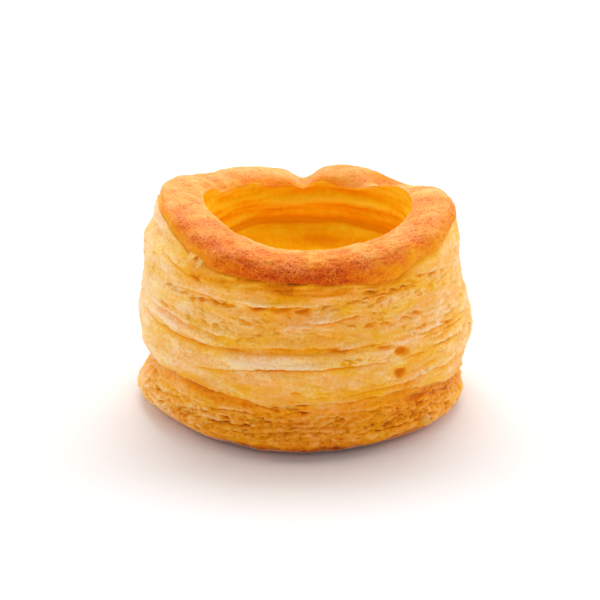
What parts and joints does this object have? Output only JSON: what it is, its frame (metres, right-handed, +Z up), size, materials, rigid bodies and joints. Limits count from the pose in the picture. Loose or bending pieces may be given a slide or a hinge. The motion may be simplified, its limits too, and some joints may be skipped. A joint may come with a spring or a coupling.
{
  "type": "vol-au-vent case",
  "caption": "Round baked puff pastry case, open at the top, with a browned rim, flaky layered side and a shallow well.",
  "frame": {"origin": "centre of the case's box, on the table it stands on", "axes": "+Z up out of the well, -Y the front that is shown, +X to the right"},
  "size_m": [0.0714, 0.0706, 0.0461],
  "materials": {
    "baked_pastry": "baked puff pastry, golden, with a soft egg-wash sheen on the rim"
  },
  "bodies": {
    "root": {"pastry_case": "baked_pastry"}
  },
  "joints": []
}
